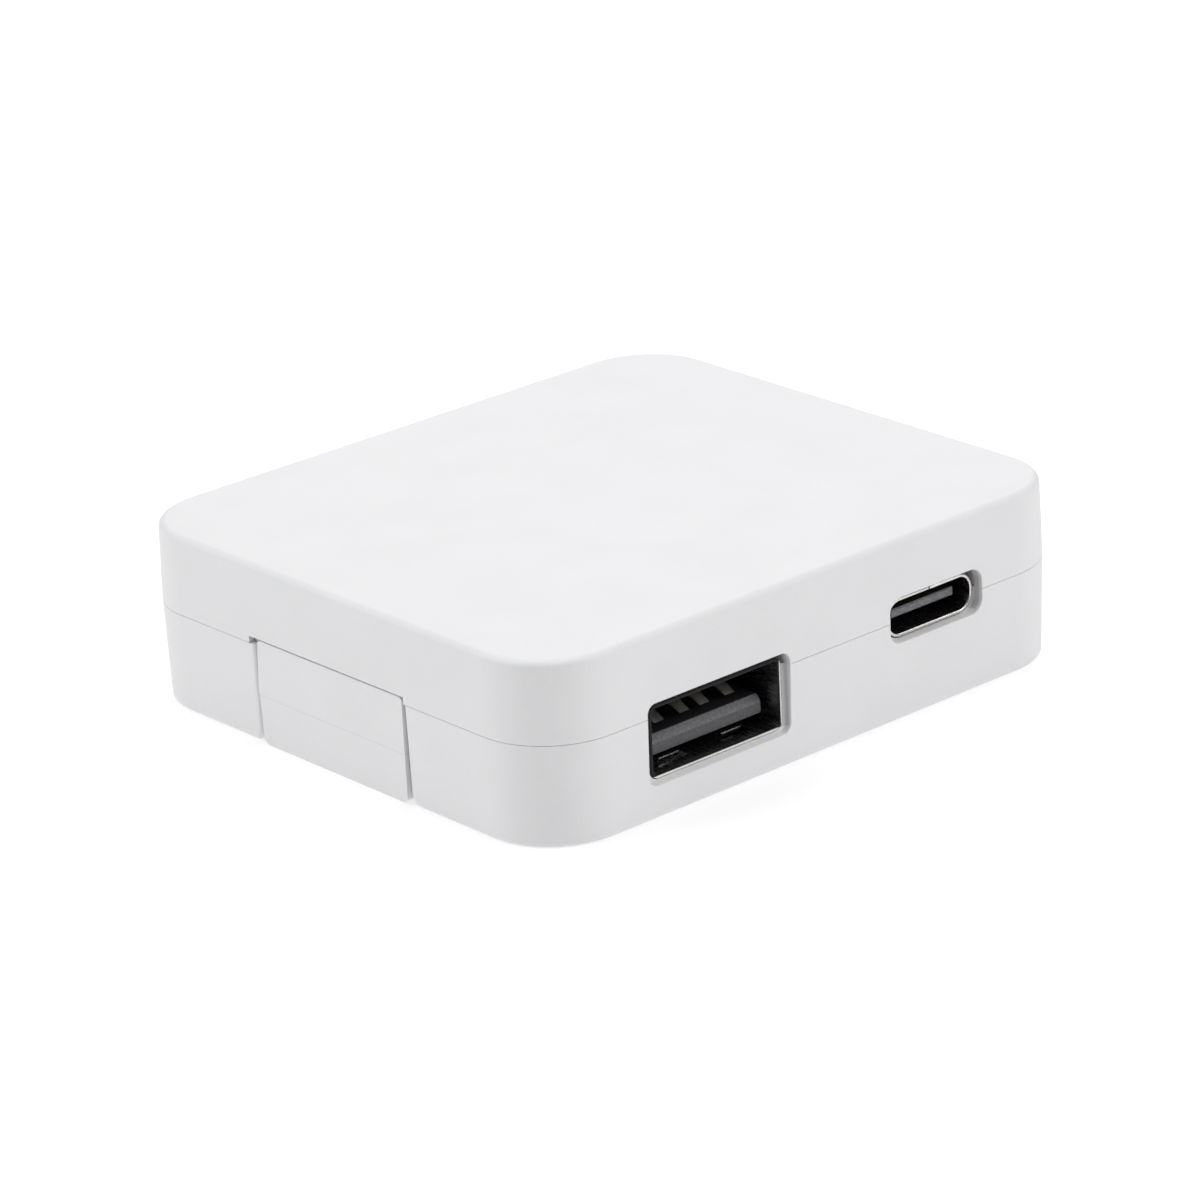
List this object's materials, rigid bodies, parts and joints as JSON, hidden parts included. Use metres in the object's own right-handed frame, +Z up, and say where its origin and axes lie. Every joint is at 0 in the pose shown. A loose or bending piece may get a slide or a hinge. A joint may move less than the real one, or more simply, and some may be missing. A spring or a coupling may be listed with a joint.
{
  "type": "usb wall charger",
  "caption": "Flat rounded wall charger that turns mains power into low voltage for phones, with a fold-out two-blade plug in one end and large and small sockets in one side.",
  "frame": {"origin": "middle of the flat box in plan, on the surface it rests on", "axes": "+X the long way, away from the folding plug's end; +Y away from the side with the sockets; +Z up, through the smallest size"},
  "size_m": [0.0544, 0.0482, 0.0144],
  "materials": {
    "case_white": "fine matt texture",
    "hub_white": "fine matt texture",
    "blade_nickel": "nickel plate, satin",
    "pin_brass": "turned",
    "spring_bronze": "rolled strip",
    "port_steel": "nickel plate, bright",
    "port_insulator": "glass-filled, matt",
    "contact_gold": "thin gold plate",
    "board_green": "solder mask",
    "ferrite": "ground",
    "bobbin_black": "moulded",
    "copper_wire": "enamelled",
    "tape_yellow": "polyester film",
    "capacitor_sleeve": "shrink sleeve",
    "capacitor_can": "drawn",
    "chip_black": "moulded epoxy",
    "disc_blue": "dipped coating",
    "fuse_body": "plain",
    "spreader_aluminium": "sheet",
    "pad_grey": "soft silicone",
    "film_clear": "polyester film"
  },
  "bodies": {
    "case": {"upper_shell": "case_white", "lower_shell": "case_white", "live_contact_spring": "spring_bronze", "neutral_contact_spring": "spring_bronze", "usb_a_shell": "port_steel", "usb_a_insulator": "port_insulator", "usb_a_contacts": "contact_gold", "usb_c_shell": "port_steel", "usb_c_insulator": "port_insulator", "usb_c_contacts": "contact_gold", "main_board": "board_green", "input_capacitor_near": "capacitor_sleeve", "input_capacitor_far": "capacitor_sleeve", "output_capacitor_front": "capacitor_can", "output_capacitor_rear": "capacitor_can", "line_fuse": "fuse_body", "choke_core": "ferrite", "choke_winding": "copper_wire", "y_capacitor": "disc_blue", "output_inductor": "ferrite", "bridge_rectifier": "chip_black", "primary_controller": "chip_black", "power_switch": "chip_black", "optocoupler": "chip_black", "output_rectifier": "chip_black", "port_controller": "chip_black", "thermal_pad": "pad_grey", "heat_spreader": "spreader_aluminium", "insulating_sheet": "film_clear", "transformer_core_near": "ferrite", "transformer_core_far": "ferrite", "transformer_bobbin": "bobbin_black", "transformer_winding": "copper_wire", "transformer_tape": "tape_yellow"},
    "plug": {"plug_hub": "hub_white", "live_blade": "blade_nickel", "neutral_blade": "blade_nickel", "live_pivot_pin": "pin_brass", "neutral_pivot_pin": "pin_brass"}
  },
  "joints": [
    {"name": "plug_fold", "type": "hinge", "parent": "case", "child": "plug", "pos_m": [-0.025, 0, 0.0022], "axis": [0, 1, 0], "range_deg": [0, 90]}
  ]
}
